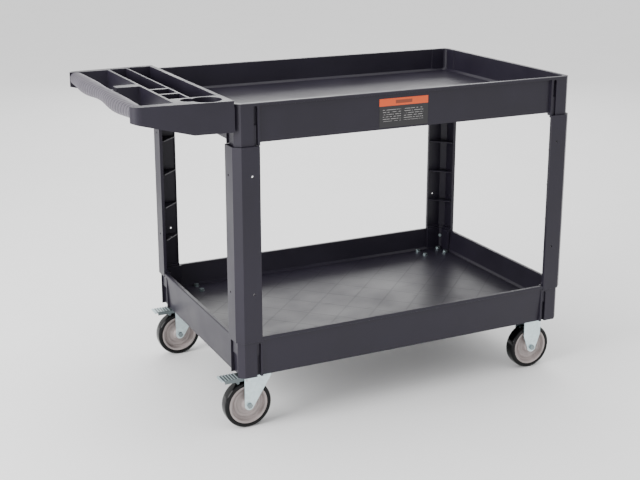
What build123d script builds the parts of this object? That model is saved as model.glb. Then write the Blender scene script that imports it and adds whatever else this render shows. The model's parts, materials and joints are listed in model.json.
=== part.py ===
"""Two-shelf moulded service cart: trays, angle legs, tool-tray handle, two swivel and two fixed casters.

Millimetres, +Z up.  +X points away from the handle, +Y to the back long side.
The origin is on the floor under the middle of the cart's whole outline.
"""
from build123d import *
from math import atan, cos, degrees, hypot, pi, radians, sin, sqrt
import os

# ---- cart outline ----
TRAY_LENGTH = 960.0         # outer faces of the tray end walls, at their lower edge
TRAY_WIDTH = 612.0          # outer faces of the tray side walls, at their lower edge
LEG_OUTSET = 12.5           # leg outer faces beyond the tray walls
HANDLE_REACH = 256.0        # outermost point of the grip beyond the tray end wall
LOWER_TRAY_DEPTH = 106.0    # lower edge to rim
UPPER_TRAY_BOTTOM = 749.0   # lower edge of the upper tray above the floor
UPPER_TRAY_DEPTH = 97.0
HANDLE_RISE = 9.0           # handle deck above the upper rim

# ---- trays ----
WALL = 5.0
FLOOR = 5.0
SHELF_DEPTH = 67.0          # rim down to the load floor, both trays
LOWER_DRAFT = 7.0           # how far the lower tray's walls lean out over their height
LOWER_LIP = 5.0             # rim beyond the wall top
UPPER_LIP = 7.5
LIP_HEIGHT = 7.0
LIP_BEVEL = 1.6
CAVITY_RADIUS = 16.0        # plan corner radius inside the trays
COVE = 6.0                  # bevel between floor and walls
RIB_THICKNESS = 3.5         # diagonal floor ribs under the trays
RIB_DROP = 13.0
RIB_PITCH = 118.0

# ---- leg sockets at the tray corners, measured inwards from the legs' outer faces ----
SOCKET_FACE = 5.3           # outer faces of the corner block
SOCKET_BACK = 19.0          # inner faces of the corner block, inside the tray
SOCKET_MARGIN = 3.0         # block beyond the leg flange along each side
SLOT_INNER = 14.6           # depth that the slots beside the block reach
END_SLOT_START = 21.0       # slot in the end face, which reaches to the flange edge
SIDE_SLOT_WIDTH = 10.0
SIDE_SLOT_MARGIN = 3.0      # slot in the long side, inwards from the flange edge
SLOT_TOP_GAP = 6.0          # solid above the slots, under the leg seam
FIT_GAP = 0.3               # clearance between a leg and its socket
UPPER_COLLAR = 7.0          # corner block below the upper tray's lower edge

# ---- legs ----
LEG_FLANGE = 65.0
LEG_THICKNESS = 5.0
LEG_CHAMFER = 17.0
LEG_LIP = 9.0               # return along each flange edge
LEG_LIP_THICKNESS = 3.0
LEG_OVERLAP = 11.0          # leg skin over the lower tray's corner block
TONGUE_OUTER = 9.3          # tongue faces, inwards from the leg's outer faces
TONGUE_INNER = 13.3
TONGUE_MARGIN = 5.0         # tongue narrower than the flange
TONGUE_LENGTH = 50.0
STEP_HEIGHT = 6.0           # shelf that joins skin and tongue
GUSSET_THICKNESS = 3.0
GUSSET_COUNT = 4
GUSSET_EDGE = 9.0           # width left at the gusset's ends
LEG_HOLE_RADIUS = 3.0
LEG_HOLE_INSET = 45.0       # hole centre from the leg's outer corner planes
LEG_HOLE_DROP = 73.0        # upper hole below the leg's top
LEG_HOLE_RISE = 126.0       # lower hole above the leg's lower end

# ---- handle tray, X measured outwards from the tray end wall ----
HANDLE_FLARE = 6.0          # arm faces beyond the tray's side walls, at the tray
HANDLE_TAPER = 16.0         # how far each arm leans in towards the grip
HANDLE_NOSE = 24.0          # plan radius of the outer corners
HANDLE_MIN_ROUND = 1.0      # least plan radius inside the outer corners
ARM_WALL = 6.0
ARM_DEPTH = 75.0            # deck to the deepest part of the arms
ARM_TIP_DEPTH = 37.0        # deck to the arm lower edge at the outer end
ARM_SLOPE_START = 105.0     # where the lower edge starts to rise
DECK = 5.0                  # deck plate thickness
POCKET_WALL = 3.5
REAR_DEPTH = 65.0           # deck to the floors of the two compartment rows
FRONT_DEPTH = 59.0
RIM_GAP = 1.0               # between the tray rim and the handle deck
REAR_ROW = (20.0, 86.0)     # compartment row beside the tray
FRONT_ROW = (91.0, 138.0)   # compartment row beside the hand openings
HAND_START = 145.0          # hand openings
HAND_GRIP_GAP = 27.0        # grip axis to the hand openings' collar
LONG_POCKET_SPAN = (90.0, 14.0)       # margins from the front and back arm faces
SHORT_POCKET_WIDTH = 64.0
SHORT_POCKET_WALL = 12.0
HAND_MARGIN = 22.0
BRIDGE_WIDTH = 34.0
HAND_COLLAR = 56.0          # depth of the collar round each hand opening
CUP_RADIUS = 37.0
CUP_DEPTH = 52.0
CUP_X = 60.0
CUP_Y = 46.0                # from the front arm face
BOTTLE_RADIUS = 21.0
BOTTLE_OFFSET = (40.0, 12.0)

# ---- grip ----
GRIP_WIDTH = 36.0           # along X at the waist and the ends
GRIP_HEIGHT = 33.0
LOBE_SWELL = 12.0           # extra width in the middle of each lobe
LOBE_DROP = 6.0             # extra depth below, in the middle of each lobe
GRIP_SECTIONS = 13
GRIP_END_GAP = 22.0         # grip end inside the arm face
CORE = 16.0                 # square bar inside the grip

# ---- label ----
LABEL_LENGTH = 141.0
LABEL_HEIGHT = 73.0
LABEL_THICKNESS = 0.5
LABEL_X = 382.0             # from the handle end wall
LABEL_DROP = 19.0           # below the rim

# ---- wheels ----
WHEEL_RADIUS = 63.5
WHEEL_WIDTH = 32.0
TYRE_THICKNESS = 11.5
TYRE_SHOULDER = 6.0
HUB_RIM = 6.0               # thickness of the hub's outer band
HUB_WEB = 7.0
HUB_BOSS_RADIUS = 17.0
HUB_RING_RADIUS = 34.0      # raised ring on the web
AXLE_BUSH_RADIUS = 6.0
AXLE_RADIUS = 4.0
AXLE_PLAY = 0.2             # bolt inside the bush
RUNNING_PLAY = 0.06         # radial clearance of turning pairs
SIDE_PLAY = 3.0             # wheel to fork plate, each side

# ---- casters ----
CASTER_END_INSET = 60.0     # caster plate centre from the tray end wall
CASTER_SIDE_INSET = 40.0    # caster plate centre from the tray side wall
PLATE_LENGTH = 95.0
PLATE_WIDTH = 65.0
PLATE_THICKNESS = 3.0
PLATE_STACK = 19.0          # crown underside to the top of the plate
PLATE_RECESS = 8.0          # plate top above the lower tray's lower edge
PLATE_CORNER = 8.0
BOLT_SPAN_X = 75.0
BOLT_SPAN_Y = 45.0
CASTER_BOLT_RADIUS = 4.0
CASTER_HOLE_RADIUS = 4.3
BOLT_COLUMN_RADIUS = 10.4   # moulded column round each caster bolt
FORK_PLATE = 3.0
TRAIL = 33.0                # wheel axle behind the swivel axis
FORK_FRONT = 27.0           # fork top beyond the swivel axis
FORK_EYE = 12.5             # round end of the fork plates
CROWN_CLEARANCE = 12.0      # crown underside above the wheel
RACE_OUTER = 28.0
RACE_INNER = 17.0
BALL_RADIUS = 3.0
BALL_CIRCLE = 22.5
BALL_COUNT = 18
BALL_GAP = 0.3
CUP_WALL = 1.6
KINGPIN_RADIUS = 5.0
KINGPIN_HEAD = 9.0
KINGPIN_HEAD_HEIGHT = 4.0
FIXED_TOP_WIDTH = 55.0
FIXED_WAIST_RISE = 36.5     # above the axle, where the fixed fork starts to narrow
FIXED_EYE = 14.0

# ---- brake pedal ----
PEDAL_PIVOT_X = 40.0        # behind the swivel axis
PEDAL_PIVOT_DROP = 6.0      # below the crown underside
PEDAL_TIP = 106.0
PEDAL_RISE = 2.0            # pedal top above the crown underside
PEDAL_PLATE = 2.5
PEDAL_WIDTH = 36.0
PEDAL_CHEEK = 9.5           # depth of the pedal's side flanges
PEDAL_RIBS = 6
PEDAL_RIB = 2.0
PEDAL_TREAD_START = 58.0
PIN_RADIUS = 2.5
PIN_END = 1.5               # pin beyond each fork plate
PEDAL_EYE = 5.5
PEDAL_SWING = 10.0          # degrees, pressed
SHOE_RADIUS = 4.0
SHOE_GAP = 0.4              # shoe to tyre, pressed
SHOE_ANGLE = 24.0           # where the shoe meets the tyre, degrees back from the top

# ---- screws ----
SCREW_RADIUS = 2.5
SCREW_HEAD_RADIUS = 5.0
SCREW_HEAD = 3.0
SCREW_LENGTH = 16.0
LEG_SCREW_LENGTH = 12.0     # stays inside the corner block's outer skin
SCREW_BOSS = 5.5
HANDLE_SCREW_RISE = 30.0    # handle screws above the arms' lower edge

# ---- bolts ----
HEAD_HEIGHT = 5.3
NUT_HEIGHT = 6.5
BOLT_FLATS = 13.0
THREAD_PAST_NUT = 2.5
WASHER_RADIUS = 8.5
WASHER_THICKNESS = 1.6

# ---- worked out from the sizes above ----
CROWN_BOTTOM = 2 * WHEEL_RADIUS + CROWN_CLEARANCE
PLATE_TOP = CROWN_BOTTOM + PLATE_STACK
SKIRT_HEIGHT = PLATE_TOP - PLATE_RECESS
TRAY_X = (HANDLE_REACH - LEG_OUTSET) / 2
HALF_LENGTH = TRAY_LENGTH / 2
HALF_WIDTH = TRAY_WIDTH / 2
END_WALL_X = TRAY_X - HALF_LENGTH
LOWER_RIM = SKIRT_HEIGHT + LOWER_TRAY_DEPTH
UPPER_RIM = UPPER_TRAY_BOTTOM + UPPER_TRAY_DEPTH
LOWER_FLOOR = LOWER_RIM - SHELF_DEPTH
UPPER_FLOOR = UPPER_RIM - SHELF_DEPTH
LEG_BOTTOM = LOWER_RIM - LEG_OVERLAP
LEG_TOP = UPPER_TRAY_BOTTOM - UPPER_COLLAR
HUB_RADIUS = WHEEL_RADIUS - TYRE_THICKNESS
FORK_INNER = WHEEL_WIDTH / 2 + SIDE_PLAY
FORK_OUTER = FORK_INNER + FORK_PLATE
PLATE_BOTTOM = PLATE_TOP - PLATE_THICKNESS
ARM_FACE = HALF_WIDTH + HANDLE_FLARE
SOCKET_WIDTH = LEG_FLANGE + SOCKET_MARGIN
END_SLOT = (END_SLOT_START, LEG_FLANGE)
SIDE_SLOT = (LEG_FLANGE - SIDE_SLOT_MARGIN - SIDE_SLOT_WIDTH, LEG_FLANGE - SIDE_SLOT_MARGIN)
TONGUE_WIDTH = LEG_FLANGE - TONGUE_MARGIN
HANDLE_TOP = UPPER_RIM + HANDLE_RISE
ARM_BOTTOM = HANDLE_TOP - ARM_DEPTH
ARM_TIP_BOTTOM = HANDLE_TOP - ARM_TIP_DEPTH
REAR_FLOOR = HANDLE_TOP - REAR_DEPTH
FRONT_FLOOR = HANDLE_TOP - FRONT_DEPTH
GRIP_X = HANDLE_REACH - (GRIP_WIDTH + LOBE_SWELL) / 2
HAND_ROW = (HAND_START, GRIP_X - HAND_GRIP_GAP)
FIXED_WAIST = WHEEL_RADIUS + FIXED_WAIST_RISE
PEDAL_PIVOT_Z = CROWN_BOTTOM - PEDAL_PIVOT_DROP
PEDAL_TOP = CROWN_BOTTOM + PEDAL_RISE
LOW, MID, HIGH = Align.MIN, Align.CENTER, Align.MAX
CORNERS = {
    "front_left": (-1, -1),
    "front_right": (1, -1),
    "back_left": (-1, 1),
    "back_right": (1, 1),
}


def save(shape, node):
    """Write one node as parts/NODE.step."""
    export_step(shape, f"parts/{node}.step")


def block(x0, x1, y0, y1, z0, z1):
    """Box between two opposite corners."""
    return Pos(x0, y0, z0) * Box(x1 - x0, y1 - y0, z1 - z0, align=(LOW, LOW, LOW))


def rod(radius, x, y, z0, z1):
    """Upright cylinder between two heights."""
    return Pos(x, y, z0) * Cylinder(radius, z1 - z0, align=(MID, MID, LOW))


def rod_y(radius, x, z, y0, y1):
    """Cylinder along +Y between two places."""
    return Pos(x, y0, z) * Rot(-90, 0, 0) * Cylinder(radius, y1 - y0, align=(MID, MID, LOW))


def rod_x(radius, y, z, x0, x1):
    """Cylinder along +X between two places."""
    return Pos(x0, y, z) * Rot(0, 90, 0) * Cylinder(radius, x1 - x0, align=(MID, MID, LOW))


def hexagon(across_flats, x, y, z0, z1):
    """Upright hexagonal prism."""
    flat = RegularPolygon(across_flats / sqrt(3), 6)
    return Pos(x, y, z0) * extrude(flat, z1 - z0)


def at_corner(shape, end, side):
    """Place a shape drawn from a leg's outer corner, with X and Y inwards, at one cart corner."""
    if end > 0:
        shape = mirror(shape, Plane.YZ)
    if side > 0:
        shape = mirror(shape, Plane.XZ)
    return Pos(TRAY_X + end * (HALF_LENGTH + LEG_OUTSET), side * (HALF_WIDTH + LEG_OUTSET), 0) * shape


def angle_plan(outer, inner, width):
    """L-shaped plan between two offsets from the leg faces, its corner cut like the leg's."""
    cut = sqrt(2) - 1
    near, far = LEG_CHAMFER + cut * outer, LEG_CHAMFER + cut * inner
    points = [(width, outer), (near, outer), (outer, near), (outer, width)]
    points += [(inner, width), (inner, far), (far, inner), (width, inner)]
    return make_face(Polyline(*points, close=True))


def angle_post(outer, inner, width, z0, z1):
    """Upright L-shaped post."""
    return Pos(0, 0, z0) * extrude(angle_plan(outer, inner, width), z1 - z0)


# ---------------------------------------------------------------- trays
def drafted(length, width, z0, height, lean, radius=0.0):
    """Box on the tray's centre whose walls lean out by lean over its height."""
    plan = RectangleRounded(length, width, radius) if radius else Rectangle(length, width)
    angle = degrees(atan(lean / height))
    return Pos(TRAY_X, 0, z0) * extrude(plan, height, taper=-angle)


def tray_shell(z0, depth, draft, lip):
    """Drafted walls, floor and outward rim of one tray."""
    rim, floor_top = z0 + depth, z0 + depth - SHELF_DEPTH
    slope = draft / depth
    grow_floor = 2 * slope * (floor_top + COVE - z0)
    cavity_length = TRAY_LENGTH - 2 * WALL + grow_floor
    cavity_width = TRAY_WIDTH - 2 * WALL + grow_floor
    walls_height = rim - floor_top - COVE
    body = drafted(TRAY_LENGTH, TRAY_WIDTH, z0, depth, draft)
    grow_rim = 2 * (draft + lip)
    rim_size = (TRAY_LENGTH + grow_rim, TRAY_WIDTH + grow_rim)
    flat = Rectangle(*rim_size)
    body += Pos(TRAY_X, 0, rim - LIP_HEIGHT) * extrude(flat, LIP_HEIGHT - LIP_BEVEL)
    body += Pos(TRAY_X, 0, rim - LIP_BEVEL) * extrude(flat, LIP_BEVEL, taper=45)
    body -= drafted(cavity_length, cavity_width, floor_top + COVE, walls_height, slope * walls_height,
                    CAVITY_RADIUS)
    body -= drafted(cavity_length - 2 * COVE, cavity_width - 2 * COVE, floor_top, COVE, COVE,
                    CAVITY_RADIUS - COVE)
    under = floor_top - FLOOR - z0
    body -= drafted(TRAY_LENGTH - 2 * WALL, TRAY_WIDTH - 2 * WALL, z0, under, slope * under)
    return body


def floor_ribs(z_under):
    """Diagonal rib lattice under a tray floor."""
    span = TRAY_LENGTH + TRAY_WIDTH
    count = int(span / RIB_PITCH / 2)
    lattice = Sketch()
    for turn in (45, -45):
        for step in range(-count, count + 1):
            shift = step * RIB_PITCH
            lattice += Pos(shift, 0) * Rot(0, 0, turn) * Rectangle(span, RIB_THICKNESS)
    lattice &= Rectangle(TRAY_LENGTH - WALL, TRAY_WIDTH - WALL)
    return Pos(TRAY_X, 0, z_under - RIB_DROP) * extrude(lattice, RIB_DROP)


def corner_block(z0, z1):
    """Leg socket block at a tray corner."""
    return angle_post(SOCKET_FACE, SOCKET_BACK, SOCKET_WIDTH, z0, z1)


def corner_slots(z0, z1):
    """Tall slots beside the corner block's faces, round at the top."""
    radius = SIDE_SLOT_WIDTH / 2
    slots = block(-LEG_OUTSET, SLOT_INNER, *END_SLOT, z0, z1 - radius)
    slots += block(*SIDE_SLOT, -LEG_OUTSET, SLOT_INNER, z0, z1 - radius)
    slots += block(-LEG_OUTSET, SLOT_INNER, END_SLOT[0] + radius, END_SLOT[1] - radius, z0, z1)
    for y in (END_SLOT[0] + radius, END_SLOT[1] - radius):
        slots += rod_x(radius, y, z1 - radius, -LEG_OUTSET, SLOT_INNER)
    return slots + rod_y(radius, sum(SIDE_SLOT) / 2, z1 - radius, -LEG_OUTSET, SLOT_INNER)


def tongue_pocket(z0, z1):
    """Room for a leg's tongue."""
    return angle_post(TONGUE_OUTER - FIT_GAP, TONGUE_INNER + FIT_GAP, TONGUE_WIDTH + FIT_GAP, z0, z1)


def corner_clear(z0, z1):
    """Room outside the corner block, where the tray's own walls and rim stop short."""
    reach = LEG_FLANGE + FIT_GAP
    outside = block(-LEG_OUTSET, reach, -LEG_OUTSET, reach, z0, z1)
    return outside - angle_post(SOCKET_FACE, reach, reach, z0, z1) - block(
        SOCKET_FACE + LEG_CHAMFER, reach, SOCKET_FACE + LEG_CHAMFER, reach, z0, z1)


def caster_pad(z_under):
    """Seat for one caster plate: four bolt columns in a walled rectangle with cross ribs."""
    half_x, half_y = PLATE_LENGTH / 2, PLATE_WIDTH / 2
    pad = block(-half_x, half_x, -half_y, half_y, PLATE_TOP, z_under)
    pad -= block(-half_x + WALL, half_x - WALL, -half_y + WALL, half_y - WALL, PLATE_TOP, z_under)
    pad += block(-half_x, half_x, -RIB_THICKNESS / 2, RIB_THICKNESS / 2, PLATE_TOP, z_under)
    pad += block(-RIB_THICKNESS / 2, RIB_THICKNESS / 2, -half_y, half_y, PLATE_TOP, z_under)
    pad += [rod(BOLT_COLUMN_RADIUS, x, y, PLATE_TOP, z_under) for x, y in bolt_places()]
    return pad - [rod(CASTER_HOLE_RADIUS, x, y, PLATE_TOP, z_under) for x, y in bolt_places()]


def bolt_places():
    """The four caster bolt centres about the plate centre."""
    return [(sx * BOLT_SPAN_X / 2, sy * BOLT_SPAN_Y / 2) for sx in (-1, 1) for sy in (-1, 1)]


def caster_centre(end, side):
    """Caster plate centre at one corner."""
    return (TRAY_X + end * (HALF_LENGTH - CASTER_END_INSET), side * (HALF_WIDTH - CASTER_SIDE_INSET))


def lower_tray():
    """Lower shelf with leg sockets that open upwards and seats for the casters."""
    z_under = LOWER_FLOOR - FLOOR
    rooms, solids, cuts = [], [], []
    for end, side in CORNERS.values():
        x, y = caster_centre(end, side)
        seat = block(-PLATE_LENGTH / 2, PLATE_LENGTH / 2, -PLATE_WIDTH / 2, PLATE_WIDTH / 2,
                     SKIRT_HEIGHT, z_under)
        rooms += [Pos(x, y, 0) * seat, at_corner(corner_clear(SKIRT_HEIGHT, LOWER_RIM), end, side)]
        rooms += [rod(CASTER_HOLE_RADIUS, x + dx, y + dy, z_under, LOWER_FLOOR) for dx, dy in bolt_places()]
        solids += [Pos(x, y, 0) * caster_pad(z_under),
                   at_corner(corner_block(SKIRT_HEIGHT, LOWER_RIM), end, side)]
        cuts += [at_corner(corner_slots(SKIRT_HEIGHT, LEG_BOTTOM - SLOT_TOP_GAP), end, side),
                 at_corner(tongue_pocket(LOWER_RIM - TONGUE_LENGTH - FIT_GAP, LOWER_RIM), end, side),
                 at_corner(leg_screw(LOWER_RIM - TONGUE_LENGTH / 2), end, side)]
    body = tray_shell(SKIRT_HEIGHT, LOWER_TRAY_DEPTH, LOWER_DRAFT, LOWER_LIP) + floor_ribs(z_under)
    return body - rooms + solids - cuts


def upper_tray():
    """Upper shelf with leg sockets that open downwards and holes for the handle screws."""
    socket_bottom = LEG_TOP + FIT_GAP
    lip_bottom = UPPER_RIM - LIP_HEIGHT
    rooms, solids, cuts = [], [], []
    for end, side in CORNERS.values():
        rooms.append(at_corner(corner_clear(socket_bottom, lip_bottom), end, side))
        solids.append(at_corner(corner_block(socket_bottom, UPPER_RIM - LIP_BEVEL), end, side))
        cuts += [at_corner(corner_slots(UPPER_TRAY_BOTTOM - UPPER_COLLAR, lip_bottom), end, side),
                 at_corner(tongue_pocket(LEG_TOP, LEG_TOP + TONGUE_LENGTH + FIT_GAP), end, side),
                 at_corner(rim_corner_cut(lip_bottom, UPPER_RIM), end, side),
                 at_corner(leg_screw(LEG_TOP + TONGUE_LENGTH / 2), end, side)]
    cuts += [rod_x(SCREW_RADIUS, y, z, END_WALL_X, END_WALL_X + WALL) for y, z in handle_screw_places()]
    body = tray_shell(UPPER_TRAY_BOTTOM, UPPER_TRAY_DEPTH, 0.0, UPPER_LIP) + floor_ribs(UPPER_FLOOR - FLOOR)
    return body - rooms + solids - cuts


def rim_corner_cut(z0, z1):
    """Corner of the upper rim outside the block's chamfer."""
    face = SOCKET_FACE - FIT_GAP
    cut = LEG_CHAMFER + (sqrt(2) - 1) * face
    plan = make_face(Polyline((-cut, -cut), (2 * cut + face, -cut), (cut, face), (face, cut),
                              (-cut, 2 * cut + face), close=True))
    return Pos(0, 0, z0) * extrude(plan, z1 - z0)


# ---------------------------------------------------------------- legs
def leg_gusset(z):
    """Web across the inside of the angle, cut off along its open side."""
    end = LEG_FLANGE - LEG_LIP_THICKNESS
    root = LEG_THICKNESS
    plan = make_face(Polyline((root, root), (end, root), (end, root + GUSSET_EDGE),
                              (root + GUSSET_EDGE, end), (root, end), close=True))
    body = Pos(0, 0, z - GUSSET_THICKNESS / 2) * extrude(plan, GUSSET_THICKNESS)
    return body - angle_solid_outside(z)


def angle_solid_outside(z):
    """Corner prism outside the leg's chamfer at one web."""
    reach = LEG_CHAMFER
    plan = make_face(Polyline((0, 0), (reach, 0), (0, reach), close=True))
    return Pos(0, 0, z - GUSSET_THICKNESS) * extrude(plan, 2 * GUSSET_THICKNESS)


def leg():
    """Angle leg with edge returns, webs, two tongues and two holes in each flange."""
    low, high = LEG_BOTTOM + FIT_GAP, LEG_TOP
    step_low = LOWER_RIM + FIT_GAP
    body = angle_post(0, LEG_THICKNESS, LEG_FLANGE, low, high)
    edge = LEG_FLANGE - LEG_LIP_THICKNESS
    body += block(edge, LEG_FLANGE, 0, LEG_LIP, step_low, high)
    body += block(0, LEG_LIP, edge, LEG_FLANGE, step_low, high)
    body += angle_post(0, TONGUE_INNER, LEG_FLANGE, step_low, step_low + STEP_HEIGHT)
    body += angle_post(0, TONGUE_INNER, LEG_FLANGE, high - STEP_HEIGHT, high)
    tongues = (LOWER_RIM - TONGUE_LENGTH, step_low), (high, high + TONGUE_LENGTH)
    for z0, z1 in tongues:
        body += angle_post(TONGUE_OUTER, TONGUE_INNER, TONGUE_WIDTH, z0, z1)
    pitch = (high - step_low) / (GUSSET_COUNT + 1)
    for number in range(GUSSET_COUNT):
        body += leg_gusset(step_low + pitch * (number + 1))
    for z in (high - LEG_HOLE_DROP, low + LEG_HOLE_RISE):
        body -= rod_x(LEG_HOLE_RADIUS, LEG_HOLE_INSET, z, 0, LEG_THICKNESS)
        body -= rod_y(LEG_HOLE_RADIUS, LEG_HOLE_INSET, z, 0, LEG_THICKNESS)
    for z in (LOWER_RIM - TONGUE_LENGTH / 2, high + TONGUE_LENGTH / 2):
        body -= leg_screw(z)
    return body


def leg_screw(z):
    """Self-tapping screw from inside the tray, square to the chamfered corner."""
    seat = (LEG_CHAMFER + (sqrt(2) - 1) * SOCKET_BACK + SOCKET_BACK) / sqrt(2)
    shank = Pos(0, 0, -LEG_SCREW_LENGTH) * Cylinder(SCREW_RADIUS, LEG_SCREW_LENGTH, align=(MID, MID, LOW))
    head = Cylinder(SCREW_HEAD_RADIUS, SCREW_HEAD, align=(MID, MID, LOW))
    flat = Plane(origin=(seat / sqrt(2), seat / sqrt(2), z), x_dir=(0, 0, 1), z_dir=(1, 1, 0))
    return flat * (shank + head)


# ---------------------------------------------------------------- handle
def handle_x(distance):
    """Row X of a place measured outwards from the tray end wall."""
    return END_WALL_X - distance


def handle_plan(inset, start):
    """Outline of the handle from start outwards, its faces moved in by inset."""
    tip = GRIP_X + GRIP_WIDTH / 2 - inset
    lean = HANDLE_TAPER / (GRIP_X + GRIP_WIDTH / 2)
    wide = ARM_FACE - inset - lean * start
    narrow = ARM_FACE - inset - lean * tip
    points = [(handle_x(start), -wide), (handle_x(start), wide), (handle_x(tip), narrow),
              (handle_x(tip), -narrow)]
    face = make_face(Polyline(*points, close=True))
    outer = face.vertices().group_by(Axis.X)[0]
    return fillet(outer, max(HANDLE_NOSE - inset, HANDLE_MIN_ROUND))


def handle_prism(inset, start, z0, z1):
    """Upright prism on the handle's outline."""
    return Pos(0, 0, z0) * extrude(handle_plan(inset, start), z1 - z0)


def pocket_boxes(grow):
    """Plan boxes of the closed compartments, grown by a wall, each with its floor height."""
    front, back = -ARM_FACE + LONG_POCKET_SPAN[0], ARM_FACE - LONG_POCKET_SPAN[1]
    rows = [(REAR_ROW, front, back - ARM_WALL, REAR_FLOOR)]
    start = front
    for _ in range(2):
        rows.append((FRONT_ROW, start, start + SHORT_POCKET_WIDTH, FRONT_FLOOR))
        start += SHORT_POCKET_WIDTH + SHORT_POCKET_WALL
    rows.append((FRONT_ROW, start, back - HANDLE_TAPER, FRONT_FLOOR))
    return [(handle_x(row[1]) - grow, handle_x(row[0]) + grow, y0 - grow, y1 + grow, floor)
            for row, y0, y1, floor in rows]


def hand_boxes(grow):
    """Plan boxes of the two hand openings."""
    outer = ARM_FACE - HANDLE_TAPER - HAND_MARGIN
    half = BRIDGE_WIDTH / 2
    spans = [(-outer, -half), (half, outer)]
    return [(handle_x(HAND_ROW[1]) - grow, handle_x(HAND_ROW[0]) + grow, y0 - grow, y1 + grow)
            for y0, y1 in spans]


def cup_places():
    """Cup holder and bottle recess, as centre and radius."""
    x, y = handle_x(CUP_X), -ARM_FACE + CUP_Y
    return [(x, y, CUP_RADIUS), (x - BOTTLE_OFFSET[0], y + BOTTLE_OFFSET[1], BOTTLE_RADIUS)]


def arm_profile_cut():
    """Space under the sloping lower edge of the arms."""
    tip = handle_x(HANDLE_REACH)
    points = [(handle_x(ARM_SLOPE_START), ARM_BOTTOM), (tip, ARM_BOTTOM), (tip, ARM_TIP_BOTTOM)]
    side = Plane.XZ * make_face(Polyline(*points, close=True))
    return extrude(side, TRAY_WIDTH, both=True)


def handle_tray():
    """Handle moulding: arms, deck, compartments, cup holder and the bar inside the grip."""
    deck_start = UPPER_LIP + RIM_GAP
    under_rim = UPPER_RIM - LIP_HEIGHT - FIT_GAP
    tip = GRIP_X - GRIP_WIDTH / 2
    body = handle_prism(0, deck_start, ARM_BOTTOM, HANDLE_TOP)
    body += handle_prism(0, 0, ARM_BOTTOM, under_rim)
    body -= handle_prism(ARM_WALL, POCKET_WALL, ARM_BOTTOM, under_rim - DECK) & block(
        handle_x(tip), handle_x(deck_start), -HALF_WIDTH, HALF_WIDTH, ARM_BOTTOM, HANDLE_TOP)
    for x0, x1, y0, y1, floor in pocket_boxes(POCKET_WALL):
        body += block(x0, x1, y0, y1, floor - POCKET_WALL, HANDLE_TOP)
    for x0, x1, y0, y1 in hand_boxes(POCKET_WALL):
        body += block(x0, x1, y0, y1, HANDLE_TOP - HAND_COLLAR, HANDLE_TOP)
    for y, z in handle_screw_places():
        body += rod_x(SCREW_BOSS, y, z, handle_x(REAR_ROW[0] - POCKET_WALL), END_WALL_X)
    for x, y, radius in cup_places():
        body += rod(radius + POCKET_WALL, x, y, HANDLE_TOP - CUP_DEPTH - POCKET_WALL, HANDLE_TOP)
    for x, y, radius in cup_places():
        body -= rod(radius, x, y, HANDLE_TOP - CUP_DEPTH, HANDLE_TOP)
    for x0, x1, y0, y1, floor in pocket_boxes(0):
        body -= block(x0, x1, y0, y1, floor, HANDLE_TOP)
    for x0, x1, y0, y1 in hand_boxes(0):
        body -= block(x0, x1, y0, y1, ARM_BOTTOM, HANDLE_TOP)
    for side in (-1, 1):
        body -= block_room(side)
    body -= arm_profile_cut()
    body -= grip_room()
    body += grip_core()
    for y, z in handle_screw_places():
        body -= rod_x(SCREW_RADIUS, y, z, handle_x(SCREW_LENGTH), END_WALL_X)
    return body


def block_room(side):
    """Room in the handle for one corner block of the upper tray."""
    inner = HALF_WIDTH + LEG_OUTSET - SOCKET_WIDTH - FIT_GAP
    y0, y1 = sorted((side * inner, side * (HALF_WIDTH + LEG_OUTSET)))
    return block(handle_x(LEG_OUTSET - SOCKET_FACE + FIT_GAP), END_WALL_X, y0, y1, ARM_BOTTOM, UPPER_RIM)


def grip_half_length():
    """Half the grip's length."""
    return ARM_FACE - HANDLE_TAPER - GRIP_END_GAP


def grip_axis_z():
    """Height of the grip's axis."""
    return HANDLE_TOP - GRIP_HEIGHT / 2


def grip_room():
    """Space for the grip between the arms."""
    half = grip_half_length()
    back = handle_x(HAND_ROW[1])
    return block(handle_x(HANDLE_REACH + GRIP_WIDTH), back, -half, half, ARM_BOTTOM, HANDLE_TOP)


def grip_core():
    """Square bar that the grip is moulded round, with the bridge's root."""
    half = grip_half_length()
    axis_x, axis_z = handle_x(GRIP_X), grip_axis_z()
    core = block(axis_x - CORE / 2, axis_x + CORE / 2, -half, half, axis_z - CORE / 2, axis_z + CORE / 2)
    root = block(axis_x, handle_x(HAND_ROW[1]), -BRIDGE_WIDTH / 2, BRIDGE_WIDTH / 2,
                 axis_z - CORE / 2, axis_z + CORE / 2)
    return core + root


def grip():
    """Two-lobed grip: rounded sections lofted along Y, wide and deep in the middle of each lobe."""
    half = grip_half_length() - FIT_GAP
    sections = []
    for number in range(GRIP_SECTIONS):
        share = number / (GRIP_SECTIONS - 1)
        y = half * (2 * share - 1)
        bulge = sin(2 * pi * share) ** 2
        half_width = (GRIP_WIDTH + LOBE_SWELL * bulge) / 2
        drop = LOBE_DROP * bulge / 2
        plane = Plane(origin=(handle_x(GRIP_X), y, grip_axis_z() - drop), x_dir=(1, 0, 0), z_dir=(0, 1, 0))
        sections.append(plane * Ellipse(half_width, GRIP_HEIGHT / 2 + drop))
    return loft(sections) - grip_core()


def handle_screw_places():
    """Y and Z of the screws that hold the handle to the tray end wall."""
    z = ARM_BOTTOM + HANDLE_SCREW_RISE
    outer = HALF_WIDTH - SOCKET_WIDTH
    return [(y, z) for y in (-outer, -outer / 3, outer / 3, outer)]


def handle_screws():
    """Self-tapping screws through the tray end wall, heads inside the tray."""
    screws = []
    for y, z in handle_screw_places():
        shank = rod_x(SCREW_RADIUS, y, z, handle_x(SCREW_LENGTH), END_WALL_X + WALL)
        head = rod_x(SCREW_HEAD_RADIUS, y, z, END_WALL_X + WALL, END_WALL_X + WALL + SCREW_HEAD)
        screws.append(shank + head)
    return Compound(children=screws)


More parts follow.
